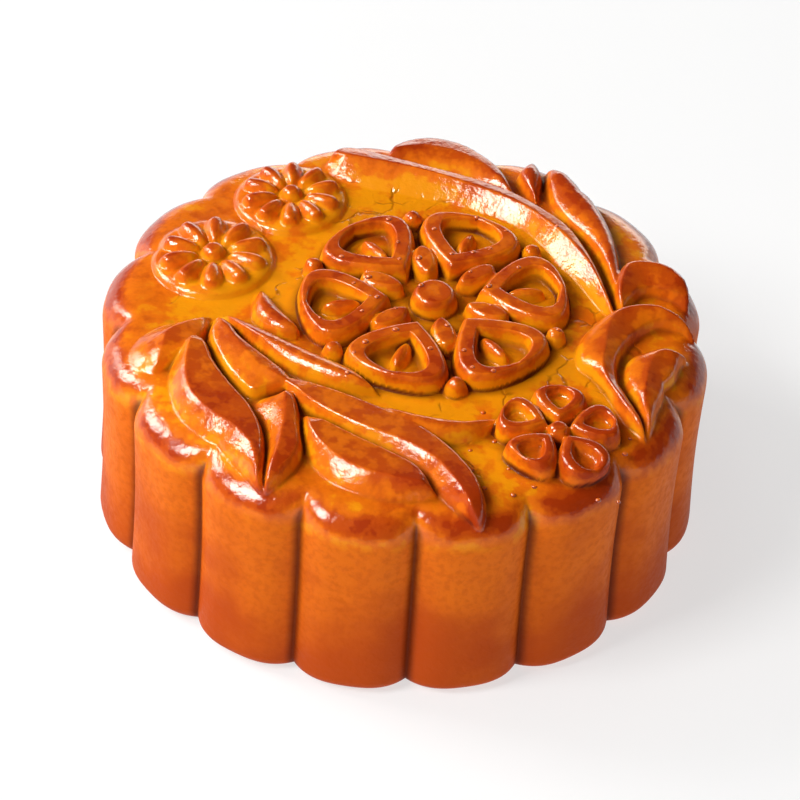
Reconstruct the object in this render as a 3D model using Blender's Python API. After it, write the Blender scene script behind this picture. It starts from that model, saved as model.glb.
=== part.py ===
"""A round moulded mooncake, one solid: fluted upright sides, rounded shoulders and a flat base, with leaves,
a large blossom, a rosette and two small flower heads standing up from its slightly domed top.

The top ornament is laid out in an unrolled plan: x and y in millimetres, measured along the crust from the
middle of the top. Past the edge of the top the plan runs down over the shoulder, so a leaf that reaches the
edge drapes over it. +X is right, +Y is back, and the base stands on z = 0.
"""

import math

import bmesh
import bpy
import numpy as np

MM = 0.001
NAME = "mooncake"

# Driving dimensions of the body, in metres.
CREST_RADIUS = 40.0 * MM        # axis to the crest of a flute
TOP_HEIGHT = 29.7 * MM          # base to the plain crust at the edge of the top
SHOULDER_DROP = 4.2 * MM        # height of the rounding between the top and the side
SHOULDER_RUN = 5.6 * MM         # its width in towards the axis
FOOT_RADIUS = 2.2 * MM          # rounding between the side and the base
DOME_RISE = 0.9 * MM            # middle of the top above its edge
WAIST = 0.3 * MM                # how far the side draws in at mid height
FLUTES = 16
FLUTE_DEPTH = 2.3 * MM          # crest to groove
FLUTE_PHASE = math.radians(5)   # turn of the grooves from the X axis
FLUTE_POWER = 3.0               # how flat a flute's face is: 2 is round, higher is flatter
GROOVE_START = 32.3 * MM        # distance from the middle of the top, along the crust, where the grooves begin
GROOVE_RUN = 9.0 * MM           # length over which a groove deepens from there, down round the shoulder
UNEVEN = 0.15 * MM              # how far the cake is out of round
FLAT_DEPTH = 1.5 * MM           # how far the cake is pressed in at the back left
FLAT_AT = math.radians(113)     # where that is, from the X axis
FLAT_SPREAD = math.radians(20)  # and how far round it reaches
ON_BASE = 0.02 * MM             # what lies closer to the base than this is set flat on it

# Driving dimensions of the ornament, in millimetres like its plan.
RELIEF = 2.5                    # usual height of the ornament over the crust
WALL = 1.1                      # width of the steep, rounded edge of a flat-topped piece

# Mesh resolution, before the surface is thinned out.
SECTORS = 480
TOP_RINGS = 120
SHOULDER_RINGS = 16
SIDE_RINGS = 12
FOOT_RINGS = 5
TRIANGLES = 9000

CRUST_COLOUR = (0.50, 0.17, 0.025, 1.0)
CRUST_ROUGHNESS = 0.45
SHARP_EDGE = math.radians(50)   # a bend of more than this is shaded as an edge

# A folded leaf is a ridge between two edges, each a row of points from one end of the leaf to the other, with a
# profile for the face down to each edge. A profile is how rounded the ridge is (1 is sharp), how plump the face is
# (less is plumper), the share of its height that is left by the edge, and the width of the fall from there.
SOFT = (2.0, 0.6, 0.0, 0.7)
PLUMP = (1.3, 0.55, 0.0, 0.7)
FLANK = (1.3, 1.0, 0.0, 0.5)
BULGE = (1.6, 0.9, 0.0, 0.5)
SLOPE = (1.0, 1.0, 0.0, 0.5)
SHELF = (1.0, 1.0, 0.55, 0.7)
LEDGE = (1.0, 1.0, 0.8, 0.9)

LEAVES = [
    # over the left shoulder
    dict(ridge=[(-25.4, -3.6), (-28.2, -5.8), (-30.4, -8.2), (-30.8, -10.8), (-31.4, -13.4)],
         edges=[[(-25.2, -2.8), (-28.2, -3.8), (-31.6, -5.2), (-34.2, -7.6), (-35.4, -10.6), (-34.4, -13.4),
                 (-32.0, -14.8)],
                [(-25.2, -2.8), (-25.4, -7.2), (-27.0, -10.2), (-29.2, -12.8), (-32.0, -14.8)]],
         faces=(SLOPE, LEDGE), wide=9.0),
    # front left: the upper and the lower half of one leaf, and a large one in front of it
    dict(ridge=[(-24.8, -3.6), (-22.9, -7.1), (-20.6, -10.8), (-17.8, -14.4), (-14.2, -16.8)],
         edges=[[(-24.8, -3.4), (-25.3, -7.6), (-23.9, -11.8), (-21.6, -15.8), (-19.0, -18.4), (-16.6, -17.8),
                 (-14.2, -17.2)],
                [(-24.8, -3.4), (-22.6, -4.9), (-20.6, -8.2), (-17.4, -11.4), (-14.2, -14.6)]],
         faces=(SHELF, LEDGE)),
    dict(ridge=[(-14.6, -18.0), (-14.2, -22.8), (-14.6, -27.8), (-15.3, -31.6), (-16.0, -34.6)],
         edges=[[(-14.6, -17.2), (-17.8, -18.4), (-18.6, -20.8), (-17.2, -23.8), (-16.6, -27.6), (-16.4, -31.0),
                 (-16.0, -35.2)],
                [(-14.6, -17.2), (-13.2, -18.0), (-12.4, -21.0), (-12.0, -24.6), (-11.6, -28.0), (-12.4, -31.0),
                 (-14.4, -33.8), (-16.0, -35.2)]],
         faces=(FLANK, LEDGE)),
    dict(ridge=[(-27.1, -8.4), (-27.5, -11.5), (-27.4, -15.6), (-26.4, -19.6), (-23.8, -22.9), (-20.1, -25.9),
                (-17.8, -29.4), (-16.3, -34.4)],
         edges=[[(-27.1, -7.6), (-28.9, -9.6), (-29.8, -13.6), (-29.5, -18.0), (-27.8, -22.2), (-24.8, -25.8),
                 (-21.2, -29.4), (-16.0, -35.2)],
                [(-27.1, -7.6), (-25.3, -8.6), (-23.7, -12.8), (-21.2, -17.0), (-18.6, -20.6), (-16.9, -24.4),
                 (-16.2, -28.4), (-16.0, -35.2)]],
         faces=(FLANK, LEDGE)),
    # above them, a leaf lying along the edge of the middle
    dict(ridge=[(-24.0, -2.7), (-20.8, -6.6), (-16.0, -10.2), (-9.8, -13.9), (-2.4, -16.7)],
         edges=[[(-24.0, -2.4), (-20.2, -4.4), (-16.0, -7.2), (-11.6, -9.6), (-6.6, -12.4), (-2.4, -16.5)],
                [(-24.0, -2.4), (-22.2, -5.0), (-19.0, -9.4), (-14.7, -13.2), (-9.6, -15.8), (-5.6, -16.9),
                 (-2.4, -16.7)]],
         faces=(SOFT, PLUMP)),
    # front: a broad leaf, and a long one above it that runs out to the edge
    dict(ridge=[(-12.0, -22.0), (-10.8, -25.4), (-9.4, -27.7), (-7.6, -29.6), (-5.4, -31.2), (-2.6, -32.4),
                (1.6, -33.4), (5.4, -34.2)],
         edges=[[(-12.2, -21.2), (-9.0, -22.8), (-4.2, -25.6), (0.0, -27.9), (3.2, -30.1), (5.5, -33.6)],
                [(-12.2, -21.2), (-12.1, -24.4), (-11.4, -27.6), (-10.0, -30.6), (-7.6, -33.0), (-4.0, -34.6),
                 (0.0, -35.4), (3.3, -35.6), (5.5, -34.2)]],
         faces=(LEDGE, FLANK)),
    dict(ridge=[(-17.2, -14.6), (-14.2, -17.0), (-12.0, -19.4), (-8.4, -22.2), (-4.2, -24.3), (0.0, -26.0),
                (3.4, -27.8), (6.0, -30.2), (8.2, -33.4), (10.4, -37.2)],
         edges=[[(-17.2, -13.8), (-12.2, -15.7), (-7.8, -17.2), (-3.4, -19.2), (0.9, -21.4), (5.2, -24.3),
                 (8.6, -27.9), (10.9, -31.6), (11.8, -35.2), (11.6, -38.0)],
                [(-17.2, -14.8), (-14.0, -18.4), (-12.3, -20.6), (-9.0, -23.0), (-4.2, -26.1), (0.0, -28.4),
                 (3.3, -30.6), (5.6, -33.9), (8.4, -36.2), (11.6, -38.0)]],
         faces=(LEDGE, FLANK)),
    # right: an inner crescent, an outer one round it, and a hook behind them
    dict(ridge=[(36.8, -4.9), (35.4, -5.2), (33.4, -5.6), (32.1, -7.8), (31.6, -11.4), (31.3, -15.2),
                (31.8, -19.6)],
         edges=[[(36.8, -4.2), (34.4, -3.6), (31.4, -4.4), (29.2, -5.8), (28.4, -8.6), (28.8, -11.6),
                 (30.0, -14.6), (31.0, -17.4), (31.9, -20.2)],
                [(36.8, -4.6), (35.9, -6.4), (35.4, -9.2), (34.4, -12.0), (33.1, -15.0), (32.5, -17.6),
                 (31.9, -20.2)]],
         faces=(PLUMP, SHELF)),
    dict(ridge=[(38.4, 0.4), (36.0, 2.2), (33.0, 3.2), (30.2, 2.9), (27.8, 1.4), (26.6, -1.4), (26.2, -5.2),
                (25.9, -8.6), (26.5, -11.4), (28.4, -14.7), (30.4, -18.0), (31.7, -20.4)],
         edges=[[(38.6, 0.8), (36.2, 3.4), (33.0, 4.6), (29.6, 4.2), (26.4, 2.4), (23.9, -0.6), (22.5, -3.6),
                 (22.3, -6.6), (22.8, -8.4), (24.4, -10.0), (26.0, -12.2), (27.5, -15.2), (29.2, -18.2),
                 (31.8, -20.8)],
                [(38.6, 0.2), (36.4, 0.9), (33.4, 0.9), (31.2, -0.6), (29.2, -3.6), (28.0, -7.2), (28.1, -10.6),
                 (29.6, -14.0), (31.0, -17.2), (31.8, -20.8)]],
         faces=(PLUMP, SHELF)),
    dict(ridge=[(37.2, 6.6), (35.8, 9.4), (33.9, 11.6), (31.4, 12.2), (29.2, 11.4), (28.3, 8.6), (28.0, 5.6),
                (28.4, 2.6)],
         edges=[[(37.6, 6.8), (36.4, 10.4), (34.2, 12.8), (31.2, 13.6), (28.4, 12.8), (27.2, 9.8), (27.0, 6.2),
                 (28.0, 2.4)],
                [(37.4, 6.2), (35.0, 7.2), (32.4, 7.7), (30.9, 7.2), (29.8, 5.6), (29.0, 3.6), (28.4, 2.4)]],
         faces=(PLUMP, SHELF)),
    # back: a half moon, a broad leaf and a narrow one on the right, and a long one sweeping round in front of them
    dict(ridge=[(-4.2, 31.3), (-2.2, 33.1), (1.2, 33.9), (5.2, 33.0), (8.4, 31.2), (10.8, 28.6), (13.8, 25.2)],
         edges=[[(-4.6, 31.6), (-3.0, 35.0), (1.2, 36.6), (5.8, 35.8), (9.6, 33.4), (12.2, 29.8), (14.2, 25.2)],
                [(-4.6, 31.0), (0.0, 29.0), (5.0, 27.8), (9.6, 26.4), (14.2, 24.8)]],
         faces=(LEDGE, BULGE)),
    dict(ridge=[(17.8, 32.2), (20.0, 28.8), (22.2, 25.4), (24.2, 21.2), (25.8, 16.6), (26.9, 11.4), (27.8, 6.4),
                (28.3, 2.8)],
         edges=[[(17.8, 33.0), (20.6, 30.8), (23.4, 27.9), (25.4, 23.8), (26.9, 19.6), (27.9, 14.4), (28.4, 8.0),
                 (28.5, 2.6)],
                [(17.8, 33.0), (17.5, 29.2), (18.2, 25.4), (20.0, 21.4), (22.8, 17.4), (25.2, 12.6), (26.8, 7.0),
                 (28.1, 2.6)]],
         faces=(SOFT, SOFT)),
    dict(ridge=[(15.8, 33.0), (15.6, 30.2), (15.9, 27.2), (16.8, 24.0)],
         edges=[[(15.6, 33.6), (13.8, 30.8), (14.2, 28.0), (16.8, 23.6)],
                [(16.0, 33.6), (17.4, 30.4), (17.1, 27.0), (16.8, 23.6)]],
         faces=(SOFT, SOFT)),
    dict(ridge=[(-9.4, 30.4), (-5.0, 29.6), (1.0, 28.1), (6.0, 26.3), (10.4, 24.5), (14.0, 22.6), (17.4, 19.6),
                (20.8, 15.8), (23.6, 11.3), (26.0, 5.4), (27.8, 0.8)],
         edges=[[(-12.2, 29.8), (-11.6, 32.2), (-9.0, 33.4), (-3.0, 31.7), (1.6, 30.2), (6.8, 28.6),
                 (12.6, 26.2), (17.2, 23.0), (21.2, 19.2), (23.8, 14.4), (25.6, 9.6), (27.0, 5.0), (28.2, 0.6)],
                [(-12.2, 29.4), (-10.6, 27.6), (-6.8, 26.1), (-1.0, 24.9), (5.0, 23.5), (10.0, 21.7),
                 (14.6, 19.4), (17.4, 16.2), (19.4, 12.6), (22.4, 8.6), (25.2, 4.0), (28.0, 0.4)]],
         faces=(LEDGE, SLOPE)),
]

BLOSSOM_CENTRE = (3.6, 2.0)
BLOSSOM_PETALS = 6
BLOSSOM_TURN = 12               # degrees from the X axis to its first petal
BLOSSOM_GAPS = BLOSSOM_TURN + 180 / BLOSSOM_PETALS
ROSETTE_CENTRE = (20.4, -21.8)
ROSETTE_PETALS = 5
ROSETTE_TURN = 90
FLOWER_HEADS = [((-25.8, 8.8), 8.2), ((-16.4, 22.2), 7.6)]      # each one's centre and radius
HEAD_PETALS = 10
HEAD_TURN = 20
SPRIG = [(-13.6, -6.4), (-17.6, -3.0), (-19.2, 2.2)]
LEAFLET = [(-3.4, -19.8), (2.4, -22.4), (8.2, -22.6), (13.2, -19.8)]


def clear_scene():
    for item in list(bpy.data.objects):
        bpy.data.objects.remove(item, do_unlink=True)


# ---------------------------------------------------------------- curves in the plan

def smooth_path(points, steps=8):
    """A Catmull-Rom curve through a few points, as rows of x and y."""
    knots = np.array(points, dtype=float)
    knots = np.vstack([2 * knots[0] - knots[1], knots, 2 * knots[-1] - knots[-2]])
    t = np.linspace(0, 1, steps, endpoint=False)[:, None]
    rows = []
    for a, b, c, d in zip(knots, knots[1:], knots[2:], knots[3:]):
        bend = 2 * a - 5 * b + 4 * c - d
        turn = 3 * b - a - 3 * c + d
        rows.append(b + 0.5 * ((c - a) * t + bend * t**2 + turn * t**3))
    return np.vstack(rows + [knots[-2:-1]])


def measure(path, x, y):
    """For each point: its distance to the path, on which side it lies, and how far along it is, 0 to 1."""
    start = path[:-1]
    run = path[1:] - start
    length = np.hypot(run[:, 0], run[:, 1])
    passed = np.concatenate([[0.0], np.cumsum(length)])
    dx = x[:, None] - start[:, 0]
    dy = y[:, None] - start[:, 1]
    t = np.clip((dx * run[:, 0] + dy * run[:, 1]) / length**2, 0, 1)
    gaps = np.hypot(dx - t * run[:, 0], dy - t * run[:, 1])
    best = gaps.argmin(axis=1)
    row = np.arange(len(x))
    side = np.sign(run[best, 0] * dy[row, best] - run[best, 1] * dx[row, best])
    along = (passed[best] + t[row, best] * length[best]) / passed[-1]
    return gaps[row, best], side, along


def taper(along, ends):
    """Width along a spine, 0 to 1. A low number in ends makes that end blunt, a high one pointed."""
    first, last = ends
    peak = first / (first + last)
    widest = peak**first * (1 - peak)**last
    return along**first * (1 - along)**last / widest


def depth_inside(path, x, y, half_width, ends):
    """How far inside a tapered outline each point lies, negative outside it, measured square to the outline."""
    gap, side, along = measure(path, x, y)
    width = half_width * taper(along, ends)
    length = np.hypot(*(path[-1] - path[0]))
    along = np.clip(along, 0.01, 0.99)
    steepness = width / length * (ends[0] / along - ends[1] / (1 - along))
    return (width - gap) / np.hypot(1, steepness)


def rounded_step(inside, wall):
    """0 outside, rising to 1 across the wall, with a rounded top edge."""
    t = np.clip(inside / wall, 0, 1)
    return np.sqrt(1 - (1 - t)**2)


def near_path(shape):
    """Lets a shape work on just the points near its path, and gives 0 for the others."""
    def shaped(x, y, points, half_width, *rest, **named):
        path = smooth_path(points)
        low = path.min(axis=0) - half_width
        high = path.max(axis=0) + half_width
        near = (x > low[0]) & (x < high[0]) & (y > low[1]) & (y < high[1])
        height = np.zeros_like(x)
        height[near] = shape(x[near], y[near], path, half_width, *rest, **named)
        return height
    return shaped


# ---------------------------------------------------------------- shapes of the ornament, as heights

@near_path
def leaf(x, y, path, half_width, height=RELIEF, ends=(0.6, 0.8), lean=0.0):
    """A plump leaf. lean moves its crest towards one edge: -1 is the right of its path, 1 the left."""
    gap, side, along = measure(path, x, y)
    width = half_width * taper(along, ends)
    across = side * gap / np.maximum(width, 1e-6) - lean
    across /= np.where(across > 0, 1 - lean, 1 + lean)
    crown = np.clip(1 - across**2, 0, None)**0.6
    return height * crown * np.sqrt(width / half_width)


def within(outline, x, y):
    """Whether each point lies inside a closed outline."""
    inside = np.zeros(len(x), dtype=bool)
    for (ax, ay), (bx, by) in zip(outline, np.roll(outline, -1, axis=0)):
        if ay != by:
            inside ^= ((ay > y) != (by > y)) & (x < ax + (y - ay) * (bx - ax) / (by - ay))
    return inside


def folded_leaf(x, y, ridge, edges, faces, wide=3.6):
    """A leaf with a face on each side of its ridge. It is lower wherever it is narrower than wide."""
    ridge = smooth_path(ridge)
    edges = [smooth_path(edge) for edge in edges]
    height = np.zeros_like(x)
    inside = within(np.vstack([edges[0], edges[1][::-1]]), x, y)
    x, y = x[inside], y[inside]
    from_ridge, side, along = measure(ridge, x, y)
    to_edges = [measure(edge, x, y)[0] for edge in edges]
    raised = np.zeros_like(x)
    for edge, to_edge, (roundness, plumpness, shelf, fall) in zip(edges, to_edges, faces):
        middle = edge[len(edge) // 2]
        here = side == measure(ridge, middle[:1], middle[1:])[1]
        up = to_edge / np.maximum(to_edge + from_ridge, 1e-6)
        face = shelf + (1 - shelf) * (1 - (1 - up)**roundness)**plumpness
        raised[here] = (face * np.sin(math.pi / 2 * np.clip(to_edge / fall, 0, 1)))[here]
    height[inside] = RELIEF * raised * np.sqrt(np.clip(sum(to_edges) / wide, 0, 1))
    return height


@near_path
def petal(x, y, path, half_width, height=RELIEF, ends=(0.9, 0.4), rim=None, floor=0.3):
    """A flat-topped petal or stroke. With a rim, its middle is hollowed to the share of its height in floor."""
    inside = depth_inside(path, x, y, half_width, ends)
    top = height * rounded_step(inside, WALL)
    if rim is not None:
        top *= 1 - (1 - floor) * rounded_step(inside - rim, WALL)
    return top


def disc(x, y, centre, radius, height, wall=WALL):
    """A round flat-topped button."""
    return height * rounded_step(radius - np.hypot(x - centre[0], y - centre[1]), wall)


def spokes(centre, count, inner, outer, first_angle):
    """Short radial paths, evenly spaced round a centre."""
    for k in range(count):
        angle = math.radians(first_angle + 360 * k / count)
        yield [(centre[0] + r * math.cos(angle), centre[1] + r * math.sin(angle)) for r in (inner, outer)]


def blossom(x, y):
    """The big flower in the middle: hollowed outer petals with a vein, beads between them, and a button."""
    height = disc(x, y, BLOSSOM_CENTRE, 3.1, 1.05 * RELIEF)
    for path in spokes(BLOSSOM_CENTRE, BLOSSOM_PETALS, 5.6, 17.8, BLOSSOM_TURN):
        height = np.maximum(height, petal(x, y, path, 7.0, ends=(0.95, 0.42), rim=2.9, floor=0.1))
    for path in spokes(BLOSSOM_CENTRE, BLOSSOM_PETALS, 9.6, 14.8, BLOSSOM_TURN):
        height = np.maximum(height, leaf(x, y, path, 1.2, 0.8 * RELIEF, ends=(0.5, 0.5)))
    for path in spokes(BLOSSOM_CENTRE, BLOSSOM_PETALS, 4.2, 10.4, BLOSSOM_GAPS):
        height = np.maximum(height, petal(x, y, path, 1.9, 0.9 * RELIEF, ends=(0.5, 0.4)))
    for path in spokes(BLOSSOM_CENTRE, BLOSSOM_PETALS, 15.6, 18.2, BLOSSOM_GAPS):
        height = np.maximum(height, leaf(x, y, path, 1.6, 0.9 * RELIEF, ends=(0.5, 0.5)))
    return height


def rosette(x, y):
    """A round flower of five broad petals with a button."""
    height = disc(x, y, ROSETTE_CENTRE, 1.7, RELIEF)
    for path in spokes(ROSETTE_CENTRE, ROSETTE_PETALS, 1.2, 8.0, ROSETTE_TURN):
        height = np.maximum(height, petal(x, y, path, 3.7, ends=(0.8, 0.35), rim=2.0, floor=0.45))
    return height


def flower_head(x, y, centre, radius):
    """A low round pad with narrow round petals on it."""
    height = disc(x, y, centre, radius, 0.42 * RELIEF, 1.8)
    height = np.maximum(height, disc(x, y, centre, 0.22 * radius, RELIEF, 1.3))
    for path in spokes(centre, HEAD_PETALS, 0.24 * radius, 0.86 * radius, HEAD_TURN):
        height = np.maximum(height, leaf(x, y, path, 0.21 * radius, 0.98 * RELIEF, ends=(0.45, 0.25)))
    return height


def ornament(x, y):
    """Height of the ornament over the crust at each point of the unrolled plan, in millimetres."""
    height = np.maximum(blossom(x, y), rosette(x, y))
    for centre, radius in FLOWER_HEADS:
        height = np.maximum(height, flower_head(x, y, centre, radius))
    for parts in LEAVES:
        height = np.maximum(height, folded_leaf(x, y, **parts))
    height = np.maximum(height, leaf(x, y, SPRIG, 2.0, 0.85 * RELIEF))
    height = np.maximum(height, leaf(x, y, LEAFLET, 2.1, 0.9 * RELIEF, lean=0.1))
    return height


# ---------------------------------------------------------------- the body

def crest_outline():
    """The outline over a crest, from the middle of the top to the base, as an array of four columns.

    They are the radius, the height, the outward normal's angle above level, and the distance run so far.
    """
    flat = CREST_RADIUS - SHOULDER_RUN
    side_top = TOP_HEIGHT - SHOULDER_DROP
    rows = []
    for share in np.linspace(0, 1, TOP_RINGS + 1)[1:]:
        rows.append((flat * share, TOP_HEIGHT + DOME_RISE * (1 - share**2), math.pi / 2))
    for turn in np.linspace(math.pi / 2, 0, SHOULDER_RINGS + 1)[1:]:
        slope = math.atan2(SHOULDER_RUN * math.sin(turn), SHOULDER_DROP * math.cos(turn))
        rows.append((flat + SHOULDER_RUN * math.cos(turn), side_top + SHOULDER_DROP * math.sin(turn), slope))
    for share in np.linspace(0, 1, SIDE_RINGS + 1)[1:]:
        rows.append((CREST_RADIUS - WAIST * math.sin(math.pi * share),
                     side_top + (FOOT_RADIUS - side_top) * share, 0.0))
    for slope in np.linspace(0, -math.pi / 2, FOOT_RINGS + 1)[1:]:
        rows.append((CREST_RADIUS - FOOT_RADIUS * (1 - math.cos(slope)), FOOT_RADIUS * (1 + math.sin(slope)), slope))
    outline = np.array(rows)
    steps = np.hypot(np.diff(outline[:, 0], prepend=0), np.diff(outline[:, 1], prepend=outline[0, 1]))
    return np.column_stack([outline, np.cumsum(steps)])


def flute_inset(angle, distance):
    """How far the crust is drawn in towards the axis, at an angle round the cake and a distance down the outline."""
    turn = (angle - FLUTE_PHASE) * FLUTES / (2 * math.pi)
    from_crest = 2 * np.abs(turn - np.floor(turn) - 0.5)
    out_of_round = UNEVEN * (np.sin(2 * angle + 0.6) + 0.6 * np.sin(3 * angle - 1.0))
    from_flat = np.mod(angle - FLAT_AT + math.pi, 2 * math.pi) - math.pi
    pressed = FLAT_DEPTH * np.exp(-(from_flat / FLAT_SPREAD)**2)
    t = np.clip((distance - GROOVE_START) / GROOVE_RUN, 0, 1)
    return (FLUTE_DEPTH * from_crest**FLUTE_POWER + out_of_round + pressed) * t**2 * (3 - 2 * t)


def turned_blank(outline):
    """The outline turned about the axis, closed by a fan at the middle of the top and by the flat base."""
    shape = bmesh.new()
    ring = [shape.verts.new((radius, 0, height)) for radius, height, slope, distance in outline]
    for upper, lower in zip(ring, ring[1:]):
        shape.edges.new((upper, lower))
    bmesh.ops.spin(shape, geom=shape.verts[:] + shape.edges[:], cent=(0, 0, 0), axis=(0, 0, 1),
                   angle=2 * math.pi, steps=SECTORS, use_merge=True)
    caps = bmesh.ops.holes_fill(shape, edges=[edge for edge in shape.edges if edge.is_boundary])["faces"]
    middle = max(caps, key=lambda face: face.calc_center_median().z)
    bmesh.ops.poke(shape, faces=[middle])
    bmesh.ops.recalc_face_normals(shape, faces=shape.faces)
    mesh = bpy.data.meshes.new(NAME)
    shape.to_mesh(mesh)
    shape.free()
    return mesh


def mould(mesh, outline):
    """Moves each vertex of the blank to its place on the fluted, ornamented crust."""
    points = np.empty(3 * len(mesh.vertices))
    mesh.vertices.foreach_get("co", points)
    points = points.reshape(-1, 3)
    radius = np.hypot(points[:, 0], points[:, 1])
    angle = np.arctan2(points[:, 1], points[:, 0])
    row = np.argmin((radius[:, None] - outline[:, 0])**2 + (points[:, 2, None] - outline[:, 1])**2, axis=1)
    middle = radius < outline[0, 0] / 2
    slope = outline[row, 2]
    distance = np.where(middle, 0, outline[row, 3])
    height = MM * ornament(distance * np.cos(angle) / MM, distance * np.sin(angle) / MM)
    radius += height * np.cos(slope) - flute_inset(angle, distance)
    points[:, 0] = radius * np.cos(angle)
    points[:, 1] = radius * np.sin(angle)
    points[:, 2] += height * np.sin(slope)
    mesh.vertices.foreach_set("co", points.ravel())
    mesh.update()


def thin_out(part):
    """Drops the triangles that flat and gently curved stretches don't need, and keeps the base flat."""
    part.data.calc_loop_triangles()
    thinner = part.modifiers.new("thin_out", "DECIMATE")
    thinner.ratio = TRIANGLES / len(part.data.loop_triangles)
    bpy.context.view_layer.update()
    mesh = bpy.data.meshes.new_from_object(part.evaluated_get(bpy.context.evaluated_depsgraph_get()))
    part.modifiers.clear()
    part.data = mesh
    for vertex in mesh.vertices:
        if vertex.co.z < ON_BASE:
            vertex.co.z = 0.0


def crust_material():
    material = bpy.data.materials.new("crust")
    material.use_nodes = True
    surface = material.node_tree.nodes["Principled BSDF"]
    surface.inputs["Base Color"].default_value = CRUST_COLOUR
    surface.inputs["Roughness"].default_value = CRUST_ROUGHNESS
    surface.inputs["Metallic"].default_value = 0.0
    material.diffuse_color = CRUST_COLOUR
    return material


def main():
    clear_scene()
    group = bpy.data.collections.new(NAME)
    bpy.context.scene.collection.children.link(group)
    outline = crest_outline()
    mesh = turned_blank(outline)
    mould(mesh, outline)
    part = bpy.data.objects.new(NAME, mesh)
    group.objects.link(part)
    thin_out(part)
    part.data.materials.clear()
    part.data.materials.append(crust_material())
    part.data.shade_smooth()
    part.data.set_sharp_from_angle(angle=SHARP_EDGE)


main()
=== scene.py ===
"""The looks of the moulded mooncake: its browned, egg-washed crust as one fine mesh, the blisters in the wash,
and the studio it is shown in. The shape repeats the part's own construction at a finer resolution.

The ornament is laid out in an unrolled plan: x and y in millimetres, measured along the crust from the middle
of the top, and running on down over the shoulder.
"""

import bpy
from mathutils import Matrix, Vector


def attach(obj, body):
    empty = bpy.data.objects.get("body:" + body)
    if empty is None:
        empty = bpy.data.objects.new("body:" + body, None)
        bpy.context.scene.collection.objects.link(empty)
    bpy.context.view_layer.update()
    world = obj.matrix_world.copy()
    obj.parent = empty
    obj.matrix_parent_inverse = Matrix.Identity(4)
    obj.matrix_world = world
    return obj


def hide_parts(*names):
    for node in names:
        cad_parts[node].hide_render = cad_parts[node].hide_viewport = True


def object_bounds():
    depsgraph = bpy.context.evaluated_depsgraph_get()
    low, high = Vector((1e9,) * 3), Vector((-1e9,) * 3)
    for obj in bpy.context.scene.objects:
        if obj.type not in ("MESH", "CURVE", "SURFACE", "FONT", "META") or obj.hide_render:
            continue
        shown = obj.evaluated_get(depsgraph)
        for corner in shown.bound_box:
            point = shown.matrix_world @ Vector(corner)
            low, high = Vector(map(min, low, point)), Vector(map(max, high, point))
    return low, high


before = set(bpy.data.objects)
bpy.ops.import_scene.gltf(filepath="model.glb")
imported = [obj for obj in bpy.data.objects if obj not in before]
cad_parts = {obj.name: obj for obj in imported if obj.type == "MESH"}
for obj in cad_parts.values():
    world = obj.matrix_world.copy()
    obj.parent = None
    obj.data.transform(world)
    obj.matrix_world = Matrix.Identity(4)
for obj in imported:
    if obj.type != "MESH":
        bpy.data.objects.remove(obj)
cad_box = [list(corner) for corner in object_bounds()]

import math

import bpy
import numpy as np
from mathutils import Matrix, Vector

MM = 0.001
NODE = "mooncake"

# Driving dimensions of the body, in metres, as in the part.
CREST_RADIUS = 40.0 * MM        # axis to the crest of a flute
TOP_HEIGHT = 29.7 * MM          # base to the plain crust at the edge of the top
SHOULDER_DROP = 4.2 * MM        # height of the rounding between the top and the side
SHOULDER_RUN = 5.6 * MM         # its width in towards the axis
FOOT_RADIUS = 2.2 * MM          # rounding between the side and the base
DOME_RISE = 0.9 * MM            # middle of the top above its edge
WAIST = 0.3 * MM                # how far the side draws in at mid height
FLUTES = 16
FLUTE_DEPTH = 2.3 * MM          # crest to groove
FLUTE_PHASE = math.radians(5)   # turn of the grooves from the X axis
FLUTE_POWER = 3.0               # how flat a flute's face is: 2 is round, higher is flatter
GROOVE_START = 32.3 * MM        # distance from the middle of the top, along the crust, where the grooves begin
GROOVE_RUN = 9.0 * MM           # length over which a groove deepens from there, down round the shoulder
UNEVEN = 0.15 * MM              # how far the cake is out of round
FLAT_DEPTH = 1.5 * MM           # how far the cake is pressed in at the back left
FLAT_AT = math.radians(113)     # where that is, from the X axis
FLAT_SPREAD = math.radians(20)  # and how far round it reaches

# Driving dimensions of the ornament, in millimetres like its plan.
RELIEF = 2.5                    # usual height of the ornament over the crust
WALL = 1.1                      # width of the steep, rounded edge of a flat-topped piece

# A folded leaf is a ridge between two edges, each a row of points from one end of the leaf to the other, with a
# profile for the face down to each edge. A profile is how rounded the ridge is (1 is sharp), how plump the face is
# (less is plumper), the share of its height that is left by the edge, and the width of the fall from there.
SOFT = (2.0, 0.6, 0.0, 0.7)
PLUMP = (1.3, 0.55, 0.0, 0.7)
FLANK = (1.3, 1.0, 0.0, 0.5)
BULGE = (1.6, 0.9, 0.0, 0.5)
SLOPE = (1.0, 1.0, 0.0, 0.5)
SHELF = (1.0, 1.0, 0.55, 0.7)
LEDGE = (1.0, 1.0, 0.8, 0.9)

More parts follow.
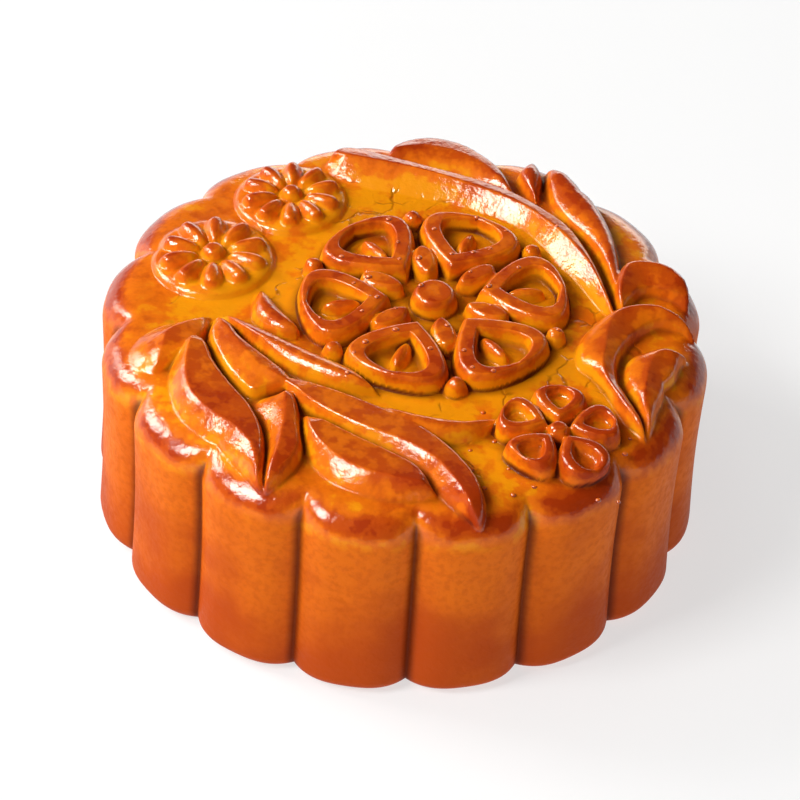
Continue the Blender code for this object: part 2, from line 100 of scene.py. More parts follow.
LEAVES = [
    # over the left shoulder
    dict(ridge=[(-25.4, -3.6), (-28.2, -5.8), (-30.4, -8.2), (-30.8, -10.8), (-31.4, -13.4)],
         edges=[[(-25.2, -2.8), (-28.2, -3.8), (-31.6, -5.2), (-34.2, -7.6), (-35.4, -10.6), (-34.4, -13.4),
                 (-32.0, -14.8)],
                [(-25.2, -2.8), (-25.4, -7.2), (-27.0, -10.2), (-29.2, -12.8), (-32.0, -14.8)]],
         faces=(SLOPE, LEDGE), wide=9.0),
    # front left: the upper and the lower half of one leaf, and a large one in front of it
    dict(ridge=[(-24.8, -3.6), (-22.9, -7.1), (-20.6, -10.8), (-17.8, -14.4), (-14.2, -16.8)],
         edges=[[(-24.8, -3.4), (-25.3, -7.6), (-23.9, -11.8), (-21.6, -15.8), (-19.0, -18.4), (-16.6, -17.8),
                 (-14.2, -17.2)],
                [(-24.8, -3.4), (-22.6, -4.9), (-20.6, -8.2), (-17.4, -11.4), (-14.2, -14.6)]],
         faces=(SHELF, LEDGE)),
    dict(ridge=[(-14.6, -18.0), (-14.2, -22.8), (-14.6, -27.8), (-15.3, -31.6), (-16.0, -34.6)],
         edges=[[(-14.6, -17.2), (-17.8, -18.4), (-18.6, -20.8), (-17.2, -23.8), (-16.6, -27.6), (-16.4, -31.0),
                 (-16.0, -35.2)],
                [(-14.6, -17.2), (-13.2, -18.0), (-12.4, -21.0), (-12.0, -24.6), (-11.6, -28.0), (-12.4, -31.0),
                 (-14.4, -33.8), (-16.0, -35.2)]],
         faces=(FLANK, LEDGE)),
    dict(ridge=[(-27.1, -8.4), (-27.5, -11.5), (-27.4, -15.6), (-26.4, -19.6), (-23.8, -22.9), (-20.1, -25.9),
                (-17.8, -29.4), (-16.3, -34.4)],
         edges=[[(-27.1, -7.6), (-28.9, -9.6), (-29.8, -13.6), (-29.5, -18.0), (-27.8, -22.2), (-24.8, -25.8),
                 (-21.2, -29.4), (-16.0, -35.2)],
                [(-27.1, -7.6), (-25.3, -8.6), (-23.7, -12.8), (-21.2, -17.0), (-18.6, -20.6), (-16.9, -24.4),
                 (-16.2, -28.4), (-16.0, -35.2)]],
         faces=(FLANK, LEDGE)),
    # above them, a leaf lying along the edge of the middle
    dict(ridge=[(-24.0, -2.7), (-20.8, -6.6), (-16.0, -10.2), (-9.8, -13.9), (-2.4, -16.7)],
         edges=[[(-24.0, -2.4), (-20.2, -4.4), (-16.0, -7.2), (-11.6, -9.6), (-6.6, -12.4), (-2.4, -16.5)],
                [(-24.0, -2.4), (-22.2, -5.0), (-19.0, -9.4), (-14.7, -13.2), (-9.6, -15.8), (-5.6, -16.9),
                 (-2.4, -16.7)]],
         faces=(SOFT, PLUMP)),
    # front: a broad leaf, and a long one above it that runs out to the edge
    dict(ridge=[(-12.0, -22.0), (-10.8, -25.4), (-9.4, -27.7), (-7.6, -29.6), (-5.4, -31.2), (-2.6, -32.4),
                (1.6, -33.4), (5.4, -34.2)],
         edges=[[(-12.2, -21.2), (-9.0, -22.8), (-4.2, -25.6), (0.0, -27.9), (3.2, -30.1), (5.5, -33.6)],
                [(-12.2, -21.2), (-12.1, -24.4), (-11.4, -27.6), (-10.0, -30.6), (-7.6, -33.0), (-4.0, -34.6),
                 (0.0, -35.4), (3.3, -35.6), (5.5, -34.2)]],
         faces=(LEDGE, FLANK)),
    dict(ridge=[(-17.2, -14.6), (-14.2, -17.0), (-12.0, -19.4), (-8.4, -22.2), (-4.2, -24.3), (0.0, -26.0),
                (3.4, -27.8), (6.0, -30.2), (8.2, -33.4), (10.4, -37.2)],
         edges=[[(-17.2, -13.8), (-12.2, -15.7), (-7.8, -17.2), (-3.4, -19.2), (0.9, -21.4), (5.2, -24.3),
                 (8.6, -27.9), (10.9, -31.6), (11.8, -35.2), (11.6, -38.0)],
                [(-17.2, -14.8), (-14.0, -18.4), (-12.3, -20.6), (-9.0, -23.0), (-4.2, -26.1), (0.0, -28.4),
                 (3.3, -30.6), (5.6, -33.9), (8.4, -36.2), (11.6, -38.0)]],
         faces=(LEDGE, FLANK)),
    # right: an inner crescent, an outer one round it, and a hook behind them
    dict(ridge=[(36.8, -4.9), (35.4, -5.2), (33.4, -5.6), (32.1, -7.8), (31.6, -11.4), (31.3, -15.2),
                (31.8, -19.6)],
         edges=[[(36.8, -4.2), (34.4, -3.6), (31.4, -4.4), (29.2, -5.8), (28.4, -8.6), (28.8, -11.6),
                 (30.0, -14.6), (31.0, -17.4), (31.9, -20.2)],
                [(36.8, -4.6), (35.9, -6.4), (35.4, -9.2), (34.4, -12.0), (33.1, -15.0), (32.5, -17.6),
                 (31.9, -20.2)]],
         faces=(PLUMP, SHELF)),
    dict(ridge=[(38.4, 0.4), (36.0, 2.2), (33.0, 3.2), (30.2, 2.9), (27.8, 1.4), (26.6, -1.4), (26.2, -5.2),
                (25.9, -8.6), (26.5, -11.4), (28.4, -14.7), (30.4, -18.0), (31.7, -20.4)],
         edges=[[(38.6, 0.8), (36.2, 3.4), (33.0, 4.6), (29.6, 4.2), (26.4, 2.4), (23.9, -0.6), (22.5, -3.6),
                 (22.3, -6.6), (22.8, -8.4), (24.4, -10.0), (26.0, -12.2), (27.5, -15.2), (29.2, -18.2),
                 (31.8, -20.8)],
                [(38.6, 0.2), (36.4, 0.9), (33.4, 0.9), (31.2, -0.6), (29.2, -3.6), (28.0, -7.2), (28.1, -10.6),
                 (29.6, -14.0), (31.0, -17.2), (31.8, -20.8)]],
         faces=(PLUMP, SHELF)),
    dict(ridge=[(37.2, 6.6), (35.8, 9.4), (33.9, 11.6), (31.4, 12.2), (29.2, 11.4), (28.3, 8.6), (28.0, 5.6),
                (28.4, 2.6)],
         edges=[[(37.6, 6.8), (36.4, 10.4), (34.2, 12.8), (31.2, 13.6), (28.4, 12.8), (27.2, 9.8), (27.0, 6.2),
                 (28.0, 2.4)],
                [(37.4, 6.2), (35.0, 7.2), (32.4, 7.7), (30.9, 7.2), (29.8, 5.6), (29.0, 3.6), (28.4, 2.4)]],
         faces=(PLUMP, SHELF)),
    # back: a half moon, a broad leaf and a narrow one on the right, and a long one sweeping round in front of them
    dict(ridge=[(-4.2, 31.3), (-2.2, 33.1), (1.2, 33.9), (5.2, 33.0), (8.4, 31.2), (10.8, 28.6), (13.8, 25.2)],
         edges=[[(-4.6, 31.6), (-3.0, 35.0), (1.2, 36.6), (5.8, 35.8), (9.6, 33.4), (12.2, 29.8), (14.2, 25.2)],
                [(-4.6, 31.0), (0.0, 29.0), (5.0, 27.8), (9.6, 26.4), (14.2, 24.8)]],
         faces=(LEDGE, BULGE)),
    dict(ridge=[(17.8, 32.2), (20.0, 28.8), (22.2, 25.4), (24.2, 21.2), (25.8, 16.6), (26.9, 11.4), (27.8, 6.4),
                (28.3, 2.8)],
         edges=[[(17.8, 33.0), (20.6, 30.8), (23.4, 27.9), (25.4, 23.8), (26.9, 19.6), (27.9, 14.4), (28.4, 8.0),
                 (28.5, 2.6)],
                [(17.8, 33.0), (17.5, 29.2), (18.2, 25.4), (20.0, 21.4), (22.8, 17.4), (25.2, 12.6), (26.8, 7.0),
                 (28.1, 2.6)]],
         faces=(SOFT, SOFT)),
    dict(ridge=[(15.8, 33.0), (15.6, 30.2), (15.9, 27.2), (16.8, 24.0)],
         edges=[[(15.6, 33.6), (13.8, 30.8), (14.2, 28.0), (16.8, 23.6)],
                [(16.0, 33.6), (17.4, 30.4), (17.1, 27.0), (16.8, 23.6)]],
         faces=(SOFT, SOFT)),
    dict(ridge=[(-9.4, 30.4), (-5.0, 29.6), (1.0, 28.1), (6.0, 26.3), (10.4, 24.5), (14.0, 22.6), (17.4, 19.6),
                (20.8, 15.8), (23.6, 11.3), (26.0, 5.4), (27.8, 0.8)],
         edges=[[(-12.2, 29.8), (-11.6, 32.2), (-9.0, 33.4), (-3.0, 31.7), (1.6, 30.2), (6.8, 28.6),
                 (12.6, 26.2), (17.2, 23.0), (21.2, 19.2), (23.8, 14.4), (25.6, 9.6), (27.0, 5.0), (28.2, 0.6)],
                [(-12.2, 29.4), (-10.6, 27.6), (-6.8, 26.1), (-1.0, 24.9), (5.0, 23.5), (10.0, 21.7),
                 (14.6, 19.4), (17.4, 16.2), (19.4, 12.6), (22.4, 8.6), (25.2, 4.0), (28.0, 0.4)]],
         faces=(LEDGE, SLOPE)),
]

BLOSSOM_CENTRE = (3.6, 2.0)
BLOSSOM_PETALS = 6
ROSETTE_CENTRE = (20.4, -21.8)
FLOWER_HEADS = [((-25.8, 8.8), 8.2), ((-16.4, 22.2), 7.6)]
SPRIG = [(-13.6, -6.4), (-17.6, -3.0), (-19.2, 2.2)]
LEAFLET = [(-3.4, -19.8), (2.4, -22.4), (8.2, -22.6), (13.2, -19.8)]

# The relief is worked out on a square raster over the plan, and the mesh reads it from there.
RASTER_REACH = 45.0             # half the raster's side, in millimetres
RASTER_STEP = 0.1

# Mesh resolution, before the surface is thinned out.
SECTORS = 1152
TOP_RINGS = 190
SHOULDER_RINGS = 26
SIDE_RINGS = 24
FOOT_RINGS = 8
TRIANGLES = 190_000


# ---------------------------------------------------------------- curves in the plan

def smooth_path(points, steps=8):
    """A Catmull-Rom curve through a few points, as rows of x and y."""
    knots = np.array(points, dtype=float)
    knots = np.vstack([2 * knots[0] - knots[1], knots, 2 * knots[-1] - knots[-2]])
    t = np.linspace(0, 1, steps, endpoint=False)[:, None]
    rows = []
    for a, b, c, d in zip(knots, knots[1:], knots[2:], knots[3:]):
        bend = 2 * a - 5 * b + 4 * c - d
        turn = 3 * b - a - 3 * c + d
        rows.append(b + 0.5 * ((c - a) * t + bend * t**2 + turn * t**3))
    return np.vstack(rows + [knots[-2:-1]])


def measure(path, x, y):
    """For each point: its distance to the path, on which side it lies, and how far along it is, 0 to 1."""
    start = path[:-1]
    run = path[1:] - start
    length = np.hypot(run[:, 0], run[:, 1])
    passed = np.concatenate([[0.0], np.cumsum(length)])
    dx = x[:, None] - start[:, 0]
    dy = y[:, None] - start[:, 1]
    t = np.clip((dx * run[:, 0] + dy * run[:, 1]) / length**2, 0, 1)
    gaps = np.hypot(dx - t * run[:, 0], dy - t * run[:, 1])
    best = gaps.argmin(axis=1)
    row = np.arange(len(x))
    side = np.sign(run[best, 0] * dy[row, best] - run[best, 1] * dx[row, best])
    along = (passed[best] + t[row, best] * length[best]) / passed[-1]
    return gaps[row, best], side, along


def taper(along, ends):
    """Width along a spine, 0 to 1. A low number in ends makes that end blunt, a high one pointed."""
    first, last = ends
    peak = first / (first + last)
    widest = peak**first * (1 - peak)**last
    return along**first * (1 - along)**last / widest


def depth_inside(path, x, y, half_width, ends):
    """How far inside a tapered outline each point lies, negative outside it, measured square to the outline."""
    gap, side, along = measure(path, x, y)
    width = half_width * taper(along, ends)
    length = np.hypot(*(path[-1] - path[0]))
    along = np.clip(along, 0.01, 0.99)
    steepness = width / length * (ends[0] / along - ends[1] / (1 - along))
    return (width - gap) / np.hypot(1, steepness)


def rounded_step(inside, wall):
    """0 outside, rising to 1 across the wall, with a rounded top edge."""
    t = np.clip(inside / wall, 0, 1)
    return np.sqrt(1 - (1 - t)**2)


def near_path(shape):
    """Lets a shape work on just the points near its path, and gives 0 for the others."""
    def shaped(x, y, points, half_width, *rest, **named):
        path = smooth_path(points)
        low = path.min(axis=0) - half_width
        high = path.max(axis=0) + half_width
        near = (x > low[0]) & (x < high[0]) & (y > low[1]) & (y < high[1])
        height = np.zeros_like(x)
        height[near] = shape(x[near], y[near], path, half_width, *rest, **named)
        return height
    return shaped


# ---------------------------------------------------------------- shapes of the ornament, as heights

@near_path
def leaf(x, y, path, half_width, height=RELIEF, ends=(0.6, 0.8), lean=0.0):
    """A plump leaf. lean moves its crest towards one edge: -1 is the right of its path, 1 the left."""
    gap, side, along = measure(path, x, y)
    width = half_width * taper(along, ends)
    across = side * gap / np.maximum(width, 1e-6) - lean
    across /= np.where(across > 0, 1 - lean, 1 + lean)
    crown = np.clip(1 - across**2, 0, None)**0.6
    return height * crown * np.sqrt(width / half_width)


def within(outline, x, y):
    """Whether each point lies inside a closed outline."""
    inside = np.zeros(len(x), dtype=bool)
    for (ax, ay), (bx, by) in zip(outline, np.roll(outline, -1, axis=0)):
        if ay != by:
            inside ^= ((ay > y) != (by > y)) & (x < ax + (y - ay) * (bx - ax) / (by - ay))
    return inside


def folded_leaf(x, y, ridge, edges, faces, wide=3.6):
    """A leaf with a face on each side of its ridge. It is lower wherever it is narrower than wide."""
    ridge = smooth_path(ridge)
    edges = [smooth_path(edge) for edge in edges]
    height = np.zeros_like(x)
    inside = within(np.vstack([edges[0], edges[1][::-1]]), x, y)
    x, y = x[inside], y[inside]
    from_ridge, side, along = measure(ridge, x, y)
    to_edges = [measure(edge, x, y)[0] for edge in edges]
    raised = np.zeros_like(x)
    for edge, to_edge, (roundness, plumpness, shelf, fall) in zip(edges, to_edges, faces):
        middle = edge[len(edge) // 2]
        here = side == measure(ridge, middle[:1], middle[1:])[1]
        up = to_edge / np.maximum(to_edge + from_ridge, 1e-6)
        face = shelf + (1 - shelf) * (1 - (1 - up)**roundness)**plumpness
        raised[here] = (face * np.sin(math.pi / 2 * np.clip(to_edge / fall, 0, 1)))[here]
    height[inside] = RELIEF * raised * np.sqrt(np.clip(sum(to_edges) / wide, 0, 1))
    return height


@near_path
def petal(x, y, path, half_width, height=RELIEF, ends=(0.9, 0.4), rim=None, floor=0.3):
    """A flat-topped petal or stroke. With a rim, its middle is hollowed to the share of its height in floor."""
    inside = depth_inside(path, x, y, half_width, ends)
    top = height * rounded_step(inside, WALL)
    if rim is not None:
        top *= 1 - (1 - floor) * rounded_step(inside - rim, WALL)
    return top


def disc(x, y, centre, radius, height, wall=WALL):
    """A round flat-topped button."""
    return height * rounded_step(radius - np.hypot(x - centre[0], y - centre[1]), wall)


def spokes(centre, count, inner, outer, first_angle):
    """Short radial paths, evenly spaced round a centre."""
    for k in range(count):
        angle = math.radians(first_angle + 360 * k / count)
        yield [(centre[0] + r * math.cos(angle), centre[1] + r * math.sin(angle)) for r in (inner, outer)]


def blossom(x, y):
    """The big flower in the middle: hollowed outer petals with a vein, beads between them, and a button."""
    height = disc(x, y, BLOSSOM_CENTRE, 3.1, 1.05 * RELIEF)
    for path in spokes(BLOSSOM_CENTRE, BLOSSOM_PETALS, 5.6, 17.8, 12):
        height = np.maximum(height, petal(x, y, path, 7.0, ends=(0.95, 0.42), rim=2.9, floor=0.1))
    for path in spokes(BLOSSOM_CENTRE, BLOSSOM_PETALS, 9.6, 14.8, 12):
        height = np.maximum(height, leaf(x, y, path, 1.2, 0.8 * RELIEF, ends=(0.5, 0.5)))
    for path in spokes(BLOSSOM_CENTRE, BLOSSOM_PETALS, 4.2, 10.4, 42):
        height = np.maximum(height, petal(x, y, path, 1.9, 0.9 * RELIEF, ends=(0.5, 0.4)))
    for path in spokes(BLOSSOM_CENTRE, BLOSSOM_PETALS, 15.6, 18.2, 42):
        height = np.maximum(height, leaf(x, y, path, 1.6, 0.9 * RELIEF, ends=(0.5, 0.5)))
    return height


def rosette(x, y):
    """A round flower of five broad petals with a button."""
    height = disc(x, y, ROSETTE_CENTRE, 1.7, RELIEF)
    for path in spokes(ROSETTE_CENTRE, 5, 1.2, 8.0, 90):
        height = np.maximum(height, petal(x, y, path, 3.7, ends=(0.8, 0.35), rim=2.0, floor=0.45))
    return height


def flower_head(x, y, centre, radius):
    """A low round pad with narrow round petals on it."""
    height = disc(x, y, centre, radius, 0.42 * RELIEF, 1.8)
    height = np.maximum(height, disc(x, y, centre, 0.22 * radius, RELIEF, 1.3))
    for path in spokes(centre, 10, 0.24 * radius, 0.86 * radius, 20):
        height = np.maximum(height, leaf(x, y, path, 0.21 * radius, 0.98 * RELIEF, ends=(0.45, 0.25)))
    return height


def ornament(x, y):
    """Height of the ornament over the crust at each point of the unrolled plan, in millimetres."""
    height = np.maximum(blossom(x, y), rosette(x, y))
    for centre, radius in FLOWER_HEADS:
        height = np.maximum(height, flower_head(x, y, centre, radius))
    for parts in LEAVES:
        height = np.maximum(height, folded_leaf(x, y, **parts))
    height = np.maximum(height, leaf(x, y, SPRIG, 2.0, 0.85 * RELIEF))
    height = np.maximum(height, leaf(x, y, LEAFLET, 2.1, 0.9 * RELIEF, lean=0.1))
    return height


# ---------------------------------------------------------------- the plan as a raster

def blur(raster, radius):
    """A Gaussian blur of a raster, with its radius in millimetres."""
    reach = int(3 * radius / RASTER_STEP)
    weights = np.exp(-0.5 * (np.arange(-reach, reach + 1) * RASTER_STEP / radius)**2)
    weights /= weights.sum()
    for axis in (0, 1):
        raster = np.apply_along_axis(np.convolve, axis, raster, weights, mode="same")
    return raster


def read_raster(raster, x, y):
    """The raster's value at points of the plan, blended between its four nearest cells."""
    last = len(raster) - 1.001
    u = np.clip((x + RASTER_REACH) / RASTER_STEP, 0, last)
    v = np.clip((y + RASTER_REACH) / RASTER_STEP, 0, last)
    i = u.astype(int)
    j = v.astype(int)
    u -= i
    v -= j
    near = raster[j, i] * (1 - u) + raster[j, i + 1] * u
    far = raster[j + 1, i] * (1 - u) + raster[j + 1, i + 1] * u
    return near * (1 - v) + far * v


def relief_rasters():
    """The relief, softened as dough is; how far it stands above what is round it, widely and closely; its slope."""
    line = np.arange(-RASTER_REACH, RASTER_REACH + RASTER_STEP / 2, RASTER_STEP)
    x, y = np.meshgrid(line, line)
    relief = ornament(x.ravel(), y.ravel()).reshape(x.shape)
    relief = blur(relief, 0.12)
    steepness = np.hypot(*np.gradient(relief, RASTER_STEP))
    return relief, relief - blur(relief, 1.1), relief - blur(relief, 0.4), steepness


# ---------------------------------------------------------------- the body

def crest_outline():
    """The outline over a crest, from the middle of the top to the base, as an array of four columns.

    They are the radius, the height, the outward normal's angle above level, and the distance run so far.
    """
    flat = CREST_RADIUS - SHOULDER_RUN
    side_top = TOP_HEIGHT - SHOULDER_DROP
    rows = []
    for share in np.linspace(0, 1, TOP_RINGS + 1)[1:]:
        rows.append((flat * share, TOP_HEIGHT + DOME_RISE * (1 - share**2), math.pi / 2))
    for turn in np.linspace(math.pi / 2, 0, SHOULDER_RINGS + 1)[1:]:
        slope = math.atan2(SHOULDER_RUN * math.sin(turn), SHOULDER_DROP * math.cos(turn))
        rows.append((flat + SHOULDER_RUN * math.cos(turn), side_top + SHOULDER_DROP * math.sin(turn), slope))
    for share in np.linspace(0, 1, SIDE_RINGS + 1)[1:]:
        rows.append((CREST_RADIUS - WAIST * math.sin(math.pi * share),
                     side_top + (FOOT_RADIUS - side_top) * share, 0.0))
    for slope in np.linspace(0, -math.pi / 2, FOOT_RINGS + 1)[1:]:
        rows.append((CREST_RADIUS - FOOT_RADIUS * (1 - math.cos(slope)), FOOT_RADIUS * (1 + math.sin(slope)), slope))
    outline = np.array(rows)
    steps = np.hypot(np.diff(outline[:, 0], prepend=0), np.diff(outline[:, 1], prepend=outline[0, 1]))
    return np.column_stack([outline, np.cumsum(steps)])


def from_crest(angle):
    """0 on the crest of a flute, 1 in a groove."""
    turn = (angle - FLUTE_PHASE) * FLUTES / (2 * math.pi)
    return 2 * np.abs(turn - np.floor(turn) - 0.5)


def groove_share(distance):
    """How much of its depth a groove has at a distance down the outline."""
    t = np.clip((distance - GROOVE_START) / GROOVE_RUN, 0, 1)
    return t**2 * (3 - 2 * t)


def flute_inset(angle, distance):
    """How far the crust is drawn in towards the axis, at an angle round the cake and a distance down the outline."""
    out_of_round = UNEVEN * (np.sin(2 * angle + 0.6) + 0.6 * np.sin(3 * angle - 1.0))
    from_flat = np.mod(angle - FLAT_AT + math.pi, 2 * math.pi) - math.pi
    pressed = FLAT_DEPTH * np.exp(-(from_flat / FLAT_SPREAD)**2)
    return (FLUTE_DEPTH * from_crest(angle)**FLUTE_POWER + out_of_round + pressed) * groove_share(distance)


def crust_points(radius, height, slope, distance, angle, relief):
    """Places on the fluted, ornamented crust."""
    raised = MM * read_raster(relief, distance * np.cos(angle) / MM, distance * np.sin(angle) / MM)
    out = radius + raised * np.cos(slope) - flute_inset(angle, distance)
    return np.stack([out * np.cos(angle), out * np.sin(angle), height + raised * np.sin(slope)], axis=-1)


def ring_faces(rings, sectors):
    """Quads between rings of vertices, and the fans that close the first and the last ring."""
    k = np.arange(sectors)
    after = (k + 1) % sectors
    start = sectors * np.arange(rings - 1)[:, None]
    quads = np.stack([start + k, start + sectors + k, start + sectors + after, start + after], axis=-1)
    top, bottom = rings * sectors, rings * sectors + 1
    last = sectors * (rings - 1)
    fans = [(top, a, b) for a, b in zip(k, after)] + [(bottom, last + b, last + a) for a, b in zip(k, after)]
    return quads.reshape(-1, 4).tolist() + [tuple(map(int, fan)) for fan in fans]


def add_attribute(mesh, name, values):
    attribute = mesh.attributes.new(name, "FLOAT", "POINT")
    attribute.data.foreach_set("value", np.ascontiguousarray(values, dtype=np.float32))


def make_crust(relief, standing, edging, steepness):
    """The whole crust as one closed mesh, with the values that its material uses to brown it and to paint shade into
    its creases and grooves.
    """
    outline = crest_outline()
    angle = np.linspace(0, 2 * math.pi, SECTORS, endpoint=False)
    columns = [column[:, None] for column in outline.T]
    points = crust_points(*columns, angle, relief).reshape(-1, 3)
    distance = (columns[3] + 0 * angle).ravel()
    slope = (columns[2] + 0 * angle).ravel()
    angles = (0 * columns[3] + angle).ravel()
    middle = crust_points(0.0, TOP_HEIGHT + DOME_RISE, math.pi / 2, 0.0, 0.0, relief)
    points = np.vstack([points, middle, [0, 0, 0]])
    distance = np.append(distance, [0, distance[-1]])
    slope = np.append(slope, [math.pi / 2, -math.pi / 2])
    angles = np.append(angles, [0, 0])
    mesh = bpy.data.meshes.new("crust")
    mesh.from_pydata(points.tolist(), [], ring_faces(len(outline), SECTORS))
    x = distance * np.cos(angles) / MM
    y = distance * np.sin(angles) / MM
    add_attribute(mesh, "raised", read_raster(relief, x, y) / RELIEF)
    add_attribute(mesh, "standing", read_raster(standing, x, y))
    add_attribute(mesh, "edging", read_raster(edging, x, y))
    add_attribute(mesh, "steepness", read_raster(steepness, x, y))
    add_attribute(mesh, "run", distance / MM)
    add_attribute(mesh, "groove", from_crest(angles) * groove_share(distance))
    add_attribute(mesh, "upward", np.sin(slope))
    piece = bpy.data.objects.new("crust", mesh)
    bpy.context.scene.collection.objects.link(piece)
    mesh.calc_loop_triangles()
    thinner = piece.modifiers.new("thin_out", "DECIMATE")
    thinner.ratio = TRIANGLES / len(mesh.loop_triangles)
    bpy.context.view_layer.update()
    thinned = bpy.data.meshes.new_from_object(piece.evaluated_get(bpy.context.evaluated_depsgraph_get()))
    piece.modifiers.clear()
    piece.data = thinned
    thinned.shade_smooth()
    return piece


# ---------------------------------------------------------------- blisters in the egg wash

BLISTERS = 34                   # on the tops of the ornament
GROUND_BLISTERS = 12            # on the plain crust in front
BLISTER_SIZES = (0.26, 0.48)    # radius, in millimetres
BLISTER_GAP = 2.4               # least distance between two, in millimetres
BLISTER_RINGS = 5
BLISTER_SECTORS = 14


def pick_blisters(relief, steepness, draw):
    """Places for the blisters in the plan, each with its radius: on level tops, and a few on the low ground."""
    picked = []
    wanted = [(BLISTERS, (-12, -16, 20, 20), 0.75 * RELIEF, RELIEF * 1.1),
              (GROUND_BLISTERS, (8, -33, 30, -16), -0.1, 2.4)]
    for count, (left, front, right, back), lowest, highest in wanted:
        found = 0
        while found < count:
            x, y = draw.uniform(left, right), draw.uniform(front, back)
            radius = draw.uniform(*BLISTER_SIZES)
            level = read_raster(relief, np.array([x]), np.array([y]))[0]
            steep = read_raster(steepness, np.array([x]), np.array([y]))[0]
            crowded = any(math.hypot(x - a, y - b) < BLISTER_GAP for a, b, _ in picked)
            if crowded or steep > 0.30 or not lowest < level < highest:
                BLISTER_TRIES.append(1)
                if len(BLISTER_TRIES) > 20000:
                    break
                continue
            picked.append((x, y, radius))
            found += 1
    return picked


BLISTER_TRIES = []


def make_blisters(relief, steepness):
    """All the blisters as one mesh of low domes that are let into the crust."""
    draw = np.random.default_rng(7)
    mesh = bpy.data.meshes.new("wash_blisters")
    points, faces, rises = [], [], []
    tilt = np.linspace(0, math.pi / 2, BLISTER_RINGS)
    turn = np.linspace(0, 2 * math.pi, BLISTER_SECTORS, endpoint=False)
    for x, y, radius in pick_blisters(relief, steepness, draw):
        squash = draw.uniform(0.75, 1.0)
        start = len(points)
        for ring in tilt[:-1]:
            for k in turn:
                px = x + radius * math.cos(ring) * math.cos(k)
                py = y + radius * math.cos(ring) * math.sin(k) * squash
                points.append((px, py, radius * 0.75 * math.sin(ring) - 0.06))
                rises.append(math.sin(ring))
        points.append((x, y, radius * 0.75 - 0.06))
        rises.append(1.0)
        top = len(points) - 1
        for ring in range(BLISTER_RINGS - 1):
            for k in range(BLISTER_SECTORS):
                here = start + ring * BLISTER_SECTORS
                after = (k + 1) % BLISTER_SECTORS
                if ring == BLISTER_RINGS - 2:
                    faces.append((here + k, here + after, top))
                else:
                    above = here + BLISTER_SECTORS
                    faces.append((here + k, here + after, above + after, above + k))
        faces.append(tuple(start + k for k in reversed(range(BLISTER_SECTORS))))
    plan = np.array(points)
    reach = np.hypot(plan[:, 0], plan[:, 1])
    flat = (CREST_RADIUS - SHOULDER_RUN) / MM
    ground = (TOP_HEIGHT + DOME_RISE * (1 - (reach / flat)**2)) / MM
    plan[:, 2] += ground + read_raster(relief, plan[:, 0], plan[:, 1])
    mesh.from_pydata((plan * MM).tolist(), [], faces)
    add_attribute(mesh, "rise", rises)
    mesh.shade_smooth()
    piece = bpy.data.objects.new("wash_blisters", mesh)
    bpy.context.scene.collection.objects.link(piece)
    mesh.materials.append(blister_material())
    return piece


# ---------------------------------------------------------------- materials

def srgb(red, green, blue):
    """A colour given as 0 to 255 on screen, in the linear values that a shader takes."""
    shares = [value / 255 for value in (red, green, blue)]
    return tuple(s / 12.92 if s <= 0.04045 else ((s + 0.055) / 1.055)**2.4 for s in shares) + (1.0,)


class Nodes:
    """Short calls for building a material's node tree."""

    def __init__(self, material):
        material.use_nodes = True
        self.tree = material.node_tree
        self.surface = self.tree.nodes["Principled BSDF"]

    def new(self, kind, **settings):
        node = self.tree.nodes.new(kind)
        for key, value in settings.items():
            setattr(node, key, value)
        return node

    def feed(self, socket, value):
        if isinstance(value, bpy.types.NodeSocket):
            self.tree.links.new(value, socket)
        else:
            socket.default_value = value

    def attribute(self, name):
        return self.new("ShaderNodeAttribute", attribute_name=name).outputs["Fac"]

    def math(self, operation, *values, clamp=False):
        node = self.new("ShaderNodeMath", operation=operation, use_clamp=clamp)
        for socket, value in zip(node.inputs, values):
            self.feed(socket, value)
        return node.outputs[0]

    def ramp(self, value, low, high, out_low=0.0, out_high=1.0):
        """Smoothly takes value from low..high to out_low..out_high."""
        node = self.new("ShaderNodeMapRange", interpolation_type="SMOOTHSTEP")
        for socket, entry in zip(node.inputs, (value, low, high, out_low, out_high)):
            self.feed(socket, entry)
        return node.outputs[0]

    def mix(self, share, first, second, blend="MIX"):
        node = self.new("ShaderNodeMix", data_type="RGBA", blend_type=blend)
        self.feed(node.inputs[0], share)
        self.feed(node.inputs[6], first)
        self.feed(node.inputs[7], second)
        return node.outputs[2]

    def noise(self, scale, detail=3.0, roughness=0.55, stretch=(1, 1, 1)):
        """Noise in the object's own coordinates, with its scale in features per metre."""
        place = self.new("ShaderNodeTexCoord").outputs["Object"]
        mapping = self.new("ShaderNodeMapping")
        self.feed(mapping.inputs["Vector"], place)
        mapping.inputs["Scale"].default_value = stretch
        node = self.new("ShaderNodeTexNoise")
        self.feed(node.inputs["Vector"], mapping.outputs[0])
        node.inputs["Scale"].default_value = scale
        node.inputs["Detail"].default_value = detail
        node.inputs["Roughness"].default_value = roughness
        return node.outputs["Fac"]

    def bump(self, height, strength, distance, normal=None):
        node = self.new("ShaderNodeBump")
        node.inputs["Strength"].default_value = strength
        node.inputs["Distance"].default_value = distance
        self.feed(node.inputs["Height"], height)
        if normal is not None:
            self.feed(node.inputs["Normal"], normal)
        return node.outputs[0]


GOLD = srgb(240, 148, 6)
ORANGE = srgb(228, 110, 8)
BROWN = srgb(194, 74, 6)
TOASTED = srgb(160, 42, 2)
# painted shade for the creases and grooves, and the real colour of the cracks in the wash
SHADE_AND_CRACK_BROWN = srgb(84, 22, 2)
SIDE_LIGHT = srgb(225, 108, 10)
# the side's colour at its foot, darkened as painted shade; also the colour of its darker specks
SIDE_FOOT_SHADE_AND_SPECKS = srgb(184, 71, 8)


